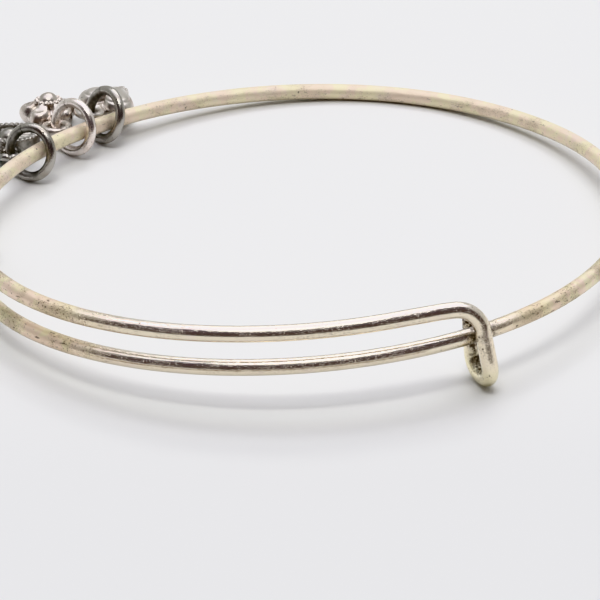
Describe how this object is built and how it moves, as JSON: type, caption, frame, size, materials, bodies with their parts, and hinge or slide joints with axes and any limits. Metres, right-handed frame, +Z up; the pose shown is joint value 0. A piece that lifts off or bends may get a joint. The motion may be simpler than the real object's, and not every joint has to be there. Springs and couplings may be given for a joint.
{
  "type": "charm bangle",
  "caption": "Expandable round-wire bangle whose ends hook round each other's strand, with a heart, a flower and a disc charm on jump rings, lying flat.",
  "frame": {"origin": "on the surface that the bangle lies on, straight below the middle of the ring", "axes": "+Z up, out of the surface; -Y towards the front, where the two strands lie side by side; +X to the right, towards the hook that goes down"},
  "size_m": [0.068, 0.0646, 0.0097],
  "materials": {
    "plated_wire": "polished pale gold plating, matt and pitted near the bends",
    "oxidised_silver": "dark antiqued metal, rubbed bright on high places",
    "pewter": "grey cast metal, satin",
    "bright_silver": "bright silver plating, slightly worn"
  },
  "bodies": {
    "root": {"bangle_wire": "plated_wire", "jump_ring_right": "oxidised_silver", "jump_ring_middle": "bright_silver", "jump_ring_left": "oxidised_silver", "heart_charm": "pewter", "flower_charm": "bright_silver", "disc_charm": "oxidised_silver"}
  },
  "joints": []
}
